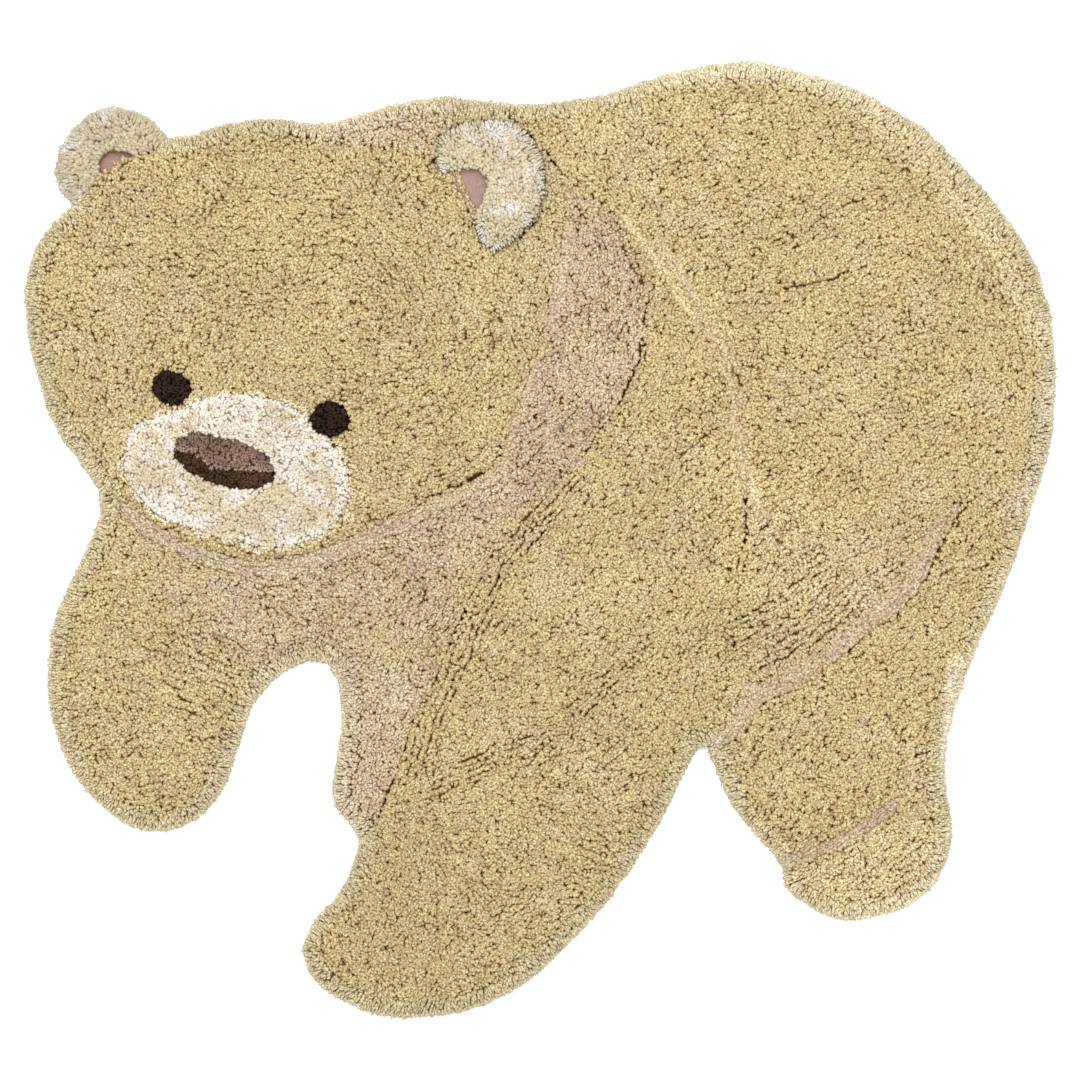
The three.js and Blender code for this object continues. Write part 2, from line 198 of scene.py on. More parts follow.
def clumpsAt(x, y):
    # The clumps are drawn out along the way the pile runs. The way to the middle of the clump, how far that
    # is, and how near the crevice to the next clump is, where there is one
    heading = headingAt(x, y)
    cos, sin = np.cos(heading), np.sin(heading)
    rng = np.random.default_rng(7)
    tile, codes = 128, 4096
    place, openness = rng.uniform(0.08, 0.92, (tile, tile, 2)), rng.uniform(0, 1, codes)
    column, row = np.floor(x / clump["size"]).astype(int), np.floor(y / clump["size"]).astype(int)
    first, second = np.full(x.shape, 99.0), np.full(x.shape, 99.0)
    toX, toY = np.zeros(x.shape), np.zeros(x.shape)
    own, other = np.zeros(x.shape, int), np.zeros(x.shape, int)
    for i in (-1, 0, 1):
        for j in (-1, 0, 1):
            at = ((column + i) % tile, (row + j) % tile)
            dx = (column + i + place[at][:, 0]) * clump["size"] - x
            dy = (row + j + place[at][:, 1]) * clump["size"] - y
            ahead, aside = dx * cos + dy * sin, dy * cos - dx * sin
            away = np.hypot(ahead / clump["stretch"], aside * clump["stretch"])
            code = at[0] * 131 + at[1] * 17
            nearer = away < first
            second = np.where(nearer, first, np.minimum(second, away))
            other = np.where(nearer, own, np.where(away <= second, code, other))
            first = np.where(nearer, away, first)
            own = np.where(nearer, code, own)
            toX, toY = np.where(nearer, dx, toX), np.where(nearer, dy, toY)
    isOpen = openness[(own + other) % codes] < clump["openShare"] * (1 + 0.8 * waves(x, y, 60, 51))
    return toX, toY, first / clump["size"], isOpen * grooveAt(second - first, clump["creviceWidth"])


edgeStep = 2.0


def edgePoints(name):
    # Points along the edge of a solid's footprint, and the way out at each
    bm = bmesh.new()
    bm.from_mesh(cadNodes[name].data)
    bmesh.ops.remove_doubles(bm, verts=bm.verts, dist=1e-5)
    foot = min(v.co.z for v in bm.verts) + 1e-4
    points, outwards = [], []
    for edge in bm.edges:
        a, b = [v.co / mm for v in edge.verts]
        below = [f for f in edge.link_faces if f.normal.z < -0.9]
        if max(a.z, b.z) * mm < foot and len(below) == 1:
            side = (b - a).cross(Vector((0, 0, 1))).normalized()
            if side.dot(a - below[0].calc_center_median() / mm) < 0:
                side.negate()
            count = max(1, round((b - a).length / edgeStep))
            points += [a.lerp(b, (i + 0.5) / count) for i in range(count)]
            outwards += [side] * count
    bm.free()
    return np.array([p[:2] for p in points]), np.array([d[:2] for d in outwards])


# The flap ear is cloth with a ring of pile. The head's pile laps over the front of the cloth, up to a line
flapEar = {
    "bare": [[-94.9, 427.2], [-89.6, 431.9], [-69.8, 429.5], [-61.6, 420.2], [-61.6, 406.3], [-67.5, 386.5],
             [-73.3, 381.9], [-79.0, 388.8], [-86.0, 406.3]],  # where it has no pile
    "front": [[-94.9, 427.2], [-86.0, 406.3], [-79.0, 388.8], [-73.3, 381.9]],
    "pile": 10,  # height of the pile on the cloth
    "lap": 9, "lapReach": 3, "lapSink": 4,  # height of the head's pile beside the cloth, and how far it sinks
    "clear": 14,  # edge points this near the bare cloth aren't part of the outer edge
    "reach": 14, "fan": 0.4,  # how far the pile fans out at the outer edge
    "white": 0.35, "whiteFrom": (20, 34),
    "moatFields": ["head_pile", "neck_and_chest_pile"], "moatDepth": 4.5, "moatWidth": 5.5,
}
frontX, frontY = np.transpose(flapEar["front"])

# The dark lower half of the nose ends at this line
noseLine = [[-427.6, 105.2], [-413.3, 102.4], [-400.5, 98.1], [-389.1, 90.3], [-376.3, 83.9], [-362.1, 81.0],
            [-336.4, 79.6], [-307.9, 78.3]]
noseX, noseY = np.transpose(noseLine)

# What the frame tells about each field: the rug's edge, the seams, and what lies on top at a place
rimPoints, rimOutwards = edgePoints("backing_cloth")
rimTree = treeOf(rimPoints)
flapPoints, flapOutwards = edgePoints("flap_ear_pile")
outer = lineAt(*flapPoints.T, flapEar["bare"], closed=True)[0] > flapEar["clear"]
flapPoints, flapOutwards = flapPoints[outer], flapOutwards[outer]
flapTree = treeOf(flapPoints)
groundFields = [name for name in fields if name != "flap_ear_pile"]
edgeOf = {name: edgePoints(name)[0] for name in groundFields}
seamOwner = np.concatenate([np.full(len(edgeOf[name]), i) for i, name in enumerate(groundFields)])
seamTree = treeOf(np.concatenate([edgeOf[name] for name in groundFields]))

corners, triangles, topNode = [], [], []
for nodeName in sorted(cadNodes):
    mesh = cadNodes[nodeName].data
    start = len(corners)
    corners += [v.co / mm for v in mesh.vertices]
    for face in mesh.polygons:
        triangles.append([start + i for i in face.vertices])
        topNode.append(nodeName)
allTops = BVHTree.FromPolygons(corners, triangles)
down = Vector((0, 0, -1))
print("solids read:", len(triangles), "triangles")

# At the rug's edge the tufts stand in rows and fan out
rimTufts = {"reach": 28, "margin": 2.5, "rows": [2.2, 4.4], "clear": 1.6, "spacing": 2.0, "lean": 13,
            "low": 0.42, "longFrom": 0.3, "coreDrop": 5, "coreInwards": 5}


def rimAt(x, y):
    # Distance inwards from the rug's edge, and the way out, from the five nearest points of the edge
    depths, ways = [], []
    for place in zip(x, y):
        found = [i for _, i, _ in rimTree.find_n((*place, 0), 5)]
        way = rimOutwards[found].mean(0)
        way /= np.hypot(*way)
        depths.append((rimPoints[found[0]] - place) @ way + rimTufts["margin"])
        ways.append(way)
    return np.array(depths), np.array(ways)


def rimPlaces(name):
    # Extra rows of tufts at even steps along the part of the rug's edge that belongs to this field
    x, y = [], []
    own = groundFields.index(name)
    every = max(1, round(rimTufts["spacing"] / edgeStep))
    for row, inwards in enumerate(rimTufts["rows"]):
        for i in range(row, len(rimPoints), every):
            place = rimPoints[i] - rimOutwards[i] * (inwards - rimTufts["margin"])
            if seamOwner[seamTree.find((*place, 0))[1]] == own:
                x.append(place[0])
                y.append(place[1])
    return np.array(x), np.array(y)


def flapEdgeAt(x, y):
    # How near the outer edge of the flap ear's pile is, and the way over it
    near, ways = [], []
    for place in zip(x, y):
        found = [i for _, i, _ in flapTree.find_n((*place, 0), 4)]
        way = flapOutwards[found].mean(0)
        near.append(np.hypot(*(flapPoints[found[0]] - place)))
        ways.append(way / np.hypot(*way))
    return nearness(np.array(near), flapEar["reach"]), np.array(ways)


def neighbourAt(x, y, own):
    # The nearest seam with another field: distance, that field's number, and the way from the seam
    gaps, others, aways = [], [], []
    for place in zip(x, y):
        gap, other, away = 99.0, -1, (0, 0)
        for spot, i, distance in seamTree.find_n((*place, 0), 14):
            if seamOwner[i] != own:
                gap, other = distance, seamOwner[i]
                away = ((place[0] - spot.x) / (distance + 1e-6), (place[1] - spot.y) / (distance + 1e-6))
                break
        gaps.append(gap)
        others.append(other)
        aways.append(away)
    return np.array(gaps), np.array(others), np.array(aways)


# Tufts stand on open cloth this near to a field, and further in the left ear's canvas is bare
openCloth = {"nearField": 6, "bareFrom": 7}


def isBare(place):
    _, near, _ = rimTree.find((*place, 0))
    return (rimPoints[near] - place) @ rimOutwards[near] > openCloth["bareFrom"]


def fieldAt(place):
    # The field that a tuft at this place belongs to, and the height of what it grows through
    spot, _, face, _ = allTops.ray_cast(Vector((*place, 100)), down)
    if face is None:
        return None, 0
    hit, top = topNode[face], spot.z
    if hit == "backing_cloth":
        _, near, gap = seamTree.find((*place, 0))
        grows = gap < openCloth["nearField"] and not isBare(place)
        hit = groundFields[seamOwner[near]] if grows else None
    if hit == "flap_ear_cloth":
        hit = "head_pile" if place[0] < np.interp(-place[1], -frontY, frontX) else "flap_ear_pile"
        top += flapEar["pile"]
    if hit == "nose_top" and place[1] < np.interp(place[0], noseX, noseY):
        hit = "nose_front"
    if hit == "head_pile":
        beside, _, face, _ = allTops.ray_cast(Vector((place[0] + flapEar["lapReach"], place[1], 100)), down)
        if face is not None and topNode[face] == "flap_ear_cloth":
            top = beside.z + flapEar["lap"]
    return hit, top


def placesFor(name):
    # Tuft roots on a jittered hexagon lattice that all fields share, kept where this field lies on top
    low, high = [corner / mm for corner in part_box(name)]
    pitch, spare = fields[name]["pitch"], 8
    height = pitch * 0.866
    columns = np.arange(math.floor((low.x - spare) / pitch), math.ceil((high.x + spare) / pitch))
    rows = np.arange(math.floor((low.y - spare) / height), math.ceil((high.y + spare) / height))
    column, row = [index.ravel() for index in np.meshgrid(columns, rows)]
    tile = 512
    shifts = np.random.default_rng(5).uniform(-1, 1, (tile, tile, 2))
    shift = shifts[column % tile, row % tile] * pile["jitter"]
    x = (column + 0.5 * (row % 2) + shift[:, 0]) * pitch
    y = row * height + shift[:, 1] * pitch
    hits, tops = zip(*[fieldAt(place) for place in zip(x, y)])
    keep = np.array([hit == name for hit in hits]) & ~insideLine(x, y, flapEar["bare"])
    return x[keep], y[keep], np.array(tops)[keep]


# Creases of the pile along lines of x and y, some in several copies side by side
creases = {
    "nape": {"line": [[-40, 494], [-31, 484], [-12, 468], [-4, 460], [13, 443], [28, 425]], "strength": 1.4},
    "earFoot": {"line": [[2, 375], [-10, 362], [-22, 352], [-40, 345]], "strength": 1.3},
    "earFront": {"line": [[-140, 472], [-130, 455], [-121, 442], [-112, 432], [-103, 422]], "strength": 0.8},
    "saddle": {"line": [[200, 237], [219, 207], [236, 172], [243, 160]], "strength": 1.0},
    "cheek": {"line": [[84, 360], [104, 330], [118, 292], [123, 245], [121, 200]], "strength": 0.9},
    "thigh": {"line": [[352, -127], [378, -112], [402, -98], [424, -87]], "strength": 1.3},
    "jaw": {"line": [[-139, 46], [-110, 56], [-84, 68], [-59, 84]], "strength": 1.2},
    "shoulderArc": {"line": [[40, 420], [70, 395], [116, 354], [163, 290], [198, 232], [227, 174],
                             [238, 104], [242, 23], [230, -41]], "strength": 1.1},
    "neckArc": {"line": [[70, 395], [110, 337], [123, 278], [116, 209], [81, 139], [35, 81]],
                "strength": 0.95},
    "armLeft": {"line": [[35, 81], [-12, 28], [-58, -24], [-91, -88], [-116, -152], [-140, -210],
                         [-154, -280]],
                "strength": 0.8, "copies": 4, "step": (8, -3)},
    "forearm": {"line": [[-145, -307], [-105, -294], [-58, -274], [-12, -262], [23, -227], [70, -187],
                         [122, -140]],
                "strength": 0.8, "copies": 5, "step": (3, 9)},
    "thighLine": {"line": [[238, -227], [267, -187], [302, -154], [360, -117], [419, -80], [456, -36],
                           [471, -1], [500, 46]], "strength": 1.3},
    "bellyFold": {"line": [[174, -1], [203, -24], [230, -43]], "strength": 1.2},
    "flank": {"line": [[215, 133], [186, 116], [158, 95]], "strength": 0.9},
    "scallop": {"line": [[273, 307], [291, 290], [320, 296], [360, 311]], "strength": 1.2},
    "scallopTop": {"line": [[267, 343], [284, 353], [302, 350]], "strength": 1.2},
    "belly": {"line": [[205, -104], [244, -84], [281, -65], [308, -44], [335, -22]], "strength": 0.75,
              "copies": 9, "step": (5.1, -6.6)},
    "legLeft": {"line": [[-452, -95], [-420, -108], [-384, -128], [-352, -138]], "strength": 0.62,
                "copies": 9, "step": (1.5, -11.5)},
}

# How a crease parts the pile, and how the many short ones are laid that run with the pile
partings = {
    "spacing": 13, "length": (6, 30), "strength": (0.1, 0.7), "step": 1.3,
    "depth": 3.8, "width": 4.0,  # the groove
    "part": 3.3, "open": 1.6, "openWidth": 6,  # how far the tufts beside it stand and lean apart
    "wobble": 3, "fade": 12,  # how crooked the long creases are, and where they die away
    "clear": 16,  # nothing parts nearer the rug's edge
}


def longCreases():
    points, strengths = [], []
    for crease in creases.values():
        ends = np.array(crease["line"], float)
        reach = np.concatenate([[0], np.cumsum(np.hypot(*np.diff(ends, axis=0).T))])
        stepX, stepY = crease.get("step", (0, 0))
        for copy in range(crease.get("copies", 1)):
            along = np.arange(0, reach[-1], 1.0)
            x = np.interp(along, reach, ends[:, 0]) + copy * stepX
            y = np.interp(along, reach, ends[:, 1]) + copy * stepY
            wobbleX, wobbleY = waves(x, y, 17, 81 + copy), waves(x, y, 17, 91 + copy)
            x, y = x + partings["wobble"] * wobbleX, y + partings["wobble"] * wobbleY
            fade = np.minimum(along, reach[-1] - along) / partings["fade"]
            uneven = 0.9 + 0.4 * waves(x, y, 15, 76)
            points.append(np.stack([x, y], -1))
            strengths.append(crease["strength"] * np.clip(fade, 0, 1) ** 0.5 * uneven)
    return points, strengths


def shortCreases():
    points, strengths = [], []
    rng = np.random.default_rng(19)
    gap = partings["spacing"]
    x, y = [index.ravel() for index in np.meshgrid(np.arange(-600, 600, gap), np.arange(-560, 560, gap))]
    x, y = x + rng.uniform(0, gap, x.shape), y + rng.uniform(0, gap, x.shape)
    length = rng.uniform(*partings["length"], x.shape)
    full = rng.uniform(*partings["strength"], x.shape) * ease(-0.7, 0.4, waves(x, y, pile["calmSize"], 71))
    heading = headingAt(x, y) + rng.normal(0, 0.12, x.shape)
    step = partings["step"]
    for k in range(math.ceil(partings["length"][1] / step)):
        share = k * step / length
        points.append(np.stack([x, y], -1)[share < 1])
        strengths.append((full * np.sin(math.pi * np.clip(share, 0.08, 0.92)) ** 0.5)[share < 1])
        now = headingAt(x, y) + 0.5 * waves(x, y, 12, 78)
        now += np.where(np.cos(now - heading) < 0, math.pi, 0)
        heading = now
        x, y = x + step * np.cos(heading), y + step * np.sin(heading)
    return points, strengths


creasePoints, creaseStrengths = [np.concatenate(a + b) for a, b in zip(longCreases(), shortCreases())]
creaseTree = treeOf(creasePoints)
print("creases:", len(creasePoints), "points")


def creaseAt(x, y):
    # The nearest crease: distance, strength, and the way from it
    distances, found = [], []
    for place in zip(x, y):
        _, i, distance = creaseTree.find((*place, 0))
        distances.append(distance)
        found.append(i)
    distances = np.array(distances)
    aside = (np.stack([x, y], -1) - creasePoints[found]) / (distances[:, None] + 1e-6)
    return distances, creaseStrengths[found] * ease(4, partings["clear"], rimAt(x, y)[0]), aside


# Seams between two fields: depth and width of the groove, over how much the two heights meet, and how far
# a seam parts the pile. Pale tufts along a seam: how pale, the strip's width, and how much that varies
seams = {
    ("head_pile", "neck_and_chest_pile"): {"depth": 1, "width": 3, "blend": 12, "part": 1.7},
    ("head_pile", "left_ear_pile"): {"depth": 2, "width": 3.5, "blend": 8, "part": 2.6},
    ("head_pile", "muzzle_pile"): {"depth": 0.3, "width": 3, "blend": 0,
                                   "pale": {"muzzle_pile": (0.5, 11, 9), "head_pile": (0.95, 4.5, 10)}},
    ("nose_top", "nose_front"): {"depth": 0.5, "width": 2.5, "blend": 0},
    ("nose_front", "muzzle_pile"): {"depth": 1.5, "width": 2.5, "blend": 0},
    ("head_pile", "left_eye"): {"depth": 3, "width": 3, "blend": 0},
    ("head_pile", "right_eye"): {"depth": 3, "width": 3, "blend": 0},
    ("neck_and_chest_pile", "back_pile"): {"depth": 0.5, "width": 3, "blend": 16},
    ("back_pile", "shoulder_and_foreleg_pile"): {"depth": 1.5, "width": 3.5, "blend": 12},
    ("shoulder_and_foreleg_pile", "belly_pile"): {"depth": 1.5, "width": 3, "blend": 16},
    ("back_pile", "belly_pile"): {"depth": 0.5, "width": 3, "blend": 20},
    ("hind_leg_pile", "belly_pile"): {"depth": 1, "width": 3.5, "blend": 5, "part": 2.4},
    ("hind_leg_pile", "back_pile"): {"depth": 1, "width": 3.5, "blend": 14},
    ("shoulder_and_foreleg_pile", "far_foreleg_pile"): {"depth": 1.5, "width": 3.5, "blend": 4, "part": 2.8},
    ("neck_and_chest_pile", "shoulder_and_foreleg_pile"): {"depth": 1, "width": 3, "blend": 14},
    ("neck_and_chest_pile", "far_foreleg_pile"): {"depth": 1.5, "width": 3, "blend": 12},
    ("neck_and_chest_pile", "left_foreleg_pile"): {"depth": 0.5, "width": 3, "blend": 14},
}

# Bands along lines of x and y: half width, how soft the edge is, drop of the pile, what they add in mauve,
# cream and tone, how smooth the pile is, how it is combed along the line, and the groove at both sides
usualBand = {"soft": 0.45, "drop": 0, "mauve": 0, "cream": 0, "tone": 0, "smooth": 1, "comb": 0, "edge": 0}
bands = {
    "chin": {"line": [[-491, 46], [-459, 14], [-405, -16], [-345, -33], [-288, -33], [-238, -16], [-195, 4],
                      [-129, 34]],
             "half": 9, "drop": 2.5, "mauve": 0.95, "cream": 0.15, "tone": -0.05,
             "only": "neck_and_chest_pile", "soft": 0.15, "comb": 4, "edge": 3.5},
    "jaw": {"line": [[-129, 34], [-81, 57], [-41, 83], [-20, 162], [6, 226], [23, 290], [37, 360]],
            "half": 7, "drop": 1.5, "mauve": 0.4, "only": "neck_and_chest_pile"},
    "shoulder": {"line": [[186, 257], [200, 233], [230, 164], [224, 134]], "half": 5, "drop": 1,
                 "mauve": 0.5},
    "bellyLeft": {"line": [[230, 127], [238, 81], [258, 25]], "half": 7, "drop": 1, "mauve": 0.5},
    "thighFront": {"line": [[493, 42], [470, 5], [445, -54], [416, -82], [383, -110], [355, -133],
                            [333, -153], [295, -175], [250, -189], [235, -233], [209, -243]],
                   "half": 24, "drop": 2, "mauve": 0.6, "tone": -0.06, "only": "belly_pile"},
    "ankle": {"line": [[272, -386], [306, -369], [334, -358], [366, -344], [386, -327], [410, -312]],
              "half": 8, "drop": 3, "mauve": 1.1, "tone": -0.1, "soft": 0.15, "comb": 4, "edge": 4},
    "ridge": {"line": [[97, 372], [134, 327], [160, 290], [185, 252]], "half": 9,
              "cream": 0.22, "soft": 0.9},
    "ridgeShade": {"line": [[140, 345], [170, 300], [200, 250], [222, 205]], "half": 7, "drop": 0.5,
                   "mauve": 0.5},
    "hindRim": {"line": [[483, -140], [476, -175], [469, -233], [472, -291]], "half": 9, "mauve": 0.6,
                "cream": 0.3, "tone": 0.05},
    "noseFold": {"line": noseLine, "half": 9, "mauve": 0.3, "cream": 0.4, "tone": 0.06,
                 "only": "nose_top", "soft": 1.0, "smooth": 0},
    "noseRim": {"line": [[-427.6, 105.2], [-420.4, 114.5], [-407.6, 123.0], [-394.8, 122.3], [-374.9, 118.8],
                         [-356.4, 115.2], [-333.6, 108.8], [-319.3, 98.8], [-309.4, 90.3], [-307.2, 80.3]],
                "half": 11, "mauve": -0.3, "tone": -0.2, "only": "nose_top", "soft": 1.0, "smooth": 0},
    "backRim": {"line": [[150, 533], [230, 546], [290, 543], [360, 513], [450, 438], [530, 343], [577, 240]],
                "half": 20, "cream": 0.4, "tone": 0.07, "soft": 0.8, "smooth": 0.2},
}

# Patches of colour inside closed lines of x and y, with the width over which they fade
patches = {
    "cheekShade": {"line": [[38, 398], [70, 389], [101, 362], [121, 299], [123, 233], [115, 192], [88, 152],
                            [52, 88], [0, 46], [-70, -1], [-128, -24], [-163, -1], [-140, 31], [-57, 83],
                            [-30, 143], [-8, 206], [8, 212], [8, 277], [23, 337]],
                   "fade": 16, "mauve": 0.55},
    "crownShade": {"line": [[-291, 511], [-99, 528], [-99, 441], [-186, 455], [-291, 463]],
                   "fade": 12, "mauve": 0.4, "cream": 0.15, "tone": 0.04},
    "rumpShade": {"line": [[590, 224], [571, 160], [565, 96], [551, 63], [531, 25], [546, 18], [570, 37],
                           [585, 69], [605, 139], [607, 224]],
                  "fade": 8, "mauve": 0.7, "cream": 0.3},
    "chestShade": {"line": [[-400, -59], [-128, 23], [-105, -70], [-128, -140], [-244, -129], [-340, -140]],
                   "fade": 30, "mauve": 0.35},
    "bellyGold": {"line": [[262, -1], [230, -1], [200, -225], [222, -225]], "fade": 18, "mauve": -0.5},
    "muzzleTop": {"line": [[-465, 98], [-442, 145], [-378, 171], [-291, 150], [-244, 104], [-233, 69],
                           [-296, 98], [-366, 127], [-436, 116]],
                  "fade": 14, "cream": 0.25},
    "muzzleTan": {"line": [[-413, 69], [-366, 46], [-291, 57], [-268, 23], [-326, -6], [-395, 11],
                           [-430, 46]],
                  "fade": 20, "cream": -0.4},
    "hindPaw": {"line": [[302, -384], [419, -320], [477, -332], [477, -408], [419, -443], [337, -443]],
                "fade": 20, "cream": 0.25, "tone": 0.08},
    "forePaw": {"line": [[-250, -400], [-150, -320], [-80, -400], [-100, -500], [-210, -520]],
                "fade": 50, "cream": -0.2, "tone": -0.05},
    "belly": {"line": [[190, 120], [330, 60], [380, -60], [300, -120], [200, -60]], "fade": 60,
              "tone": 0.09},
}


def usualTop(name):
    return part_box(name)[1].z / mm - pile["crown"]


def addSeams(lay, name, x, y):
    gap, other, away = neighbourAt(x, y, groundFields.index(name))
    for pair, seam in seams.items():
        if name not in pair:
            continue
        partner = pair[1] if name == pair[0] else pair[0]
        there = other == groundFields.index(partner)
        if seam["blend"]:
            share = 0.5 * (1 - ease(0, seam["blend"], gap))
            rise = (usualTop(partner) - usualTop(name)) * share
            tinge = (fields[partner]["mauve"] - fields[name]["mauve"]) * share
            lay["top"] = np.where(there, lay["top"] + rise, lay["top"])
            lay["mauve"] = np.where(there, lay["mauve"] + tinge, lay["mauve"])
        dip = seam["depth"] * grooveAt(gap, seam["width"])
        lay["groove"] = np.where(there, np.maximum(lay["groove"], dip), lay["groove"])
        parted = there * np.clip(seam.get("part", 0) - gap, 0, None)
        lay["push"] += parted[:, None] * away
        if name in seam.get("pale", {}):
            paleness, width, ragged = seam["pale"][name]
            isPale = there & (gap < width + ragged * waves(x, y, 13, 46))
            lay["cream"] += paleness * isPale
            lay["tone"] += 0.12 * paleness * isPale


def addBands(lay, name, x, y):
    for band in bands.values():
        band = {**usualBand, **band}
        if band.get("only", name) != name:
            continue
        distance, along = lineAt(x, y, band["line"])
        half = band["half"] * (1 + 0.3 * waves(x, y, 14, 31))
        inBand = 1 - ease(1 - band["soft"], 1.0, distance / half)
        for key in ("mauve", "cream", "tone"):
            lay[key] += band[key] * inBand
        lay["drop"] = np.maximum(lay["drop"], band["drop"] * inBand)
        lay["smooth"] = np.maximum(lay["smooth"], band["smooth"] * inBand)
        lay["comb"] += band["comb"] * inBand[:, None] * along
        lay["groove"] = np.maximum(lay["groove"], band["edge"] * nearness(np.abs(distance - half), 1.8))


def addCreases(lay, name, x, y):
    distance, strength, aside = creaseAt(x, y)
    strength = strength * (1 - lay["smooth"])
    dip = partings["depth"] * strength * grooveAt(distance, partings["width"])
    lay["groove"] = np.maximum(lay["groove"], dip)
    lay["push"] += np.clip(partings["part"] * strength - distance, 0, None)[:, None] * aside
    lay["comb"] += (partings["open"] * strength * nearness(distance, partings["openWidth"]))[:, None] * aside
    if name in flapEar["moatFields"]:
        toFlap = np.array([flapTree.find((*place, 0))[2] for place in zip(x, y)])
        moat = flapEar["moatDepth"] * nearness(toFlap, flapEar["moatWidth"])
        lay["groove"] = np.maximum(lay["groove"], moat)


def addPatches(lay, x, y):
    for patch in patches.values():
        edge = lineAt(x, y, patch["line"], closed=True)[0] * np.where(insideLine(x, y, patch["line"]), 1, -1)
        edge = edge + patch["fade"] * 0.5 * waves(x, y, 25, 41)
        inPatch = ease(-patch["fade"] / 2, patch["fade"] / 2, edge)
        for key in ("mauve", "cream", "tone"):
            lay[key] += patch.get(key, 0) * inPatch


def layOf(name, x, y):
    # How the pile of a field lies at some places: its top before clumps and pits, how far it drops there,
    # where it is smooth, how it is pushed aside and combed, and how much mauve, cream and tone it has
    lay = {key: np.zeros(x.shape) for key in ("drop", "groove", "smooth")}
    lay.update({key: np.zeros((len(x), 2)) for key in ("push", "comb")})
    lay.update({key: np.full(x.shape, float(fields[name][key])) for key in ("mauve", "cream", "tone")})
    lay["top"] = usualTop(name) + pile["swell"] * waves(x, y, pile["swellSize"], 3)
    if name in groundFields:
        addSeams(lay, name, x, y)
        addBands(lay, name, x, y)
        if not fields[name]["follow"]:
            addCreases(lay, name, x, y)
        addPatches(lay, x, y)
    lay["drop"] = lay["drop"] + lay["groove"]
    return lay


def tuftForm(rings, sides=4):
    # A closed tuft: a point at the root, rings above it and a point at the tip, unrolled for the map
    bm = bmesh.new()
    uv = bm.loops.layers.uv.new("OFBake")
    bmesh.ops.create_circle(bm, segments=sides, radius=1)
    edges = list(bm.edges)
    for ring in range(rings + 1):
        made = bmesh.ops.extrude_edge_only(bm, edges=edges)["geom"]
        verts = [part for part in made if isinstance(part, bmesh.types.BMVert)]
        edges = [part for part in made if isinstance(part, bmesh.types.BMEdge) and part.is_boundary]
        bmesh.ops.translate(bm, verts=verts, vec=(0, 0, 1))
    for level in (0, rings + 1):
        ends = [v for v in bm.verts if round(v.co.z) == level]
        bmesh.ops.pointmerge(bm, verts=ends, merge_co=(0, 0, level))
    bmesh.ops.recalc_face_normals(bm, faces=bm.faces)
    for face in bm.faces:
        centre = face.calc_center_median()
        middle = math.atan2(centre.y, centre.x)
        side = int((middle + math.pi) / (2 * math.pi / sides)) % sides
        for loop in face.loops:
            x, y, z = loop.vert.co
            turn = 0
            if abs(x) + abs(y) > 0.1:
                turn = (math.atan2(y, x) - middle + math.pi) % (2 * math.pi) - math.pi
            loop[uv].uv = ((side + 0.5 + turn / (2 * math.pi / sides) * 0.94) / sides, z / (rings + 1))
    bmesh.ops.triangulate(bm, faces=bm.faces)
    bm.verts.index_update()
    form = {
        "co": np.array([v.co for v in bm.verts]),
        "faces": np.array([[v.index for v in f.verts] for f in bm.faces]),
        "uv": np.array([[loop[uv].uv for loop in f.loops] for f in bm.faces]),
    }
    bm.free()
    return form


# Rings from root to tip: how high and how far along the lean they lie, their girth, and how far down in the
# pile, which sets the painted shade towards the root
shortTuft = {"form": tuftForm(1), "up": [0, None, 1], "lean": [0, 0.75, 1], "girth": [0, 1, 0],
             "depth": [1, 0.64, 0.02]}
longTuft = {"form": tuftForm(2), "up": [0, 0.4, None, 1], "lean": [0, 0.25, 0.78, 1], "girth": [0, 0.9, 1, 0],
            "depth": [1, 0.66, 0.3, 0.0]}


def bristle(kind, tufts):
    # Copies of a tuft, one for each root: sheared towards its lean and turned about its own axis
    form = kind["form"]
    level = np.rint(form["co"][:, 2]).astype(int)
    cos, sin = np.cos(tufts["twist"][:, None]), np.sin(tufts["twist"][:, None])
    girth = tufts["girth"][:, None] * np.array(kind["girth"])[level]
    localX = (form["co"][:, 0] * cos - form["co"][:, 1] * sin) * girth
    localY = (form["co"][:, 0] * sin + form["co"][:, 1] * cos) * girth
    leanSize = np.hypot(tufts["leanX"], tufts["leanY"])[:, None] + 0.01
    wayX, wayY = tufts["leanX"][:, None] / leanSize, tufts["leanY"][:, None] / leanSize
    drawn = 1 + np.clip(leanSize * 0.14, 0, 1.2)
    along, across = (localX * wayX + localY * wayY) * drawn, (localY * wayX - localX * wayY) / drawn ** 0.5
    localX, localY = along * wayX - across * wayY, along * wayY + across * wayX
    length = tufts["tip"] - tufts["root"]
    shares = [np.full(length.shape, up) if up is not None else np.clip(1 - tufts["point"] / length, 0.3, 0.9)
              for up in kind["up"]]
    up = np.stack(shares, 1)[:, level]
    leanShare = np.array(kind["lean"])[level]
    return {
        "co": np.stack([
            tufts["x"][:, None] + localX + tufts["leanX"][:, None] * leanShare,
            tufts["y"][:, None] + localY + tufts["leanY"][:, None] * leanShare,
            tufts["root"][:, None] + up * length[:, None],
        ], -1),
        "faces": form["faces"], "uv": form["uv"],
        "depth": np.clip(np.array(kind["depth"])[level] + tufts["sunk"][:, None], 0, 1),
        "tufts": tufts,
    }


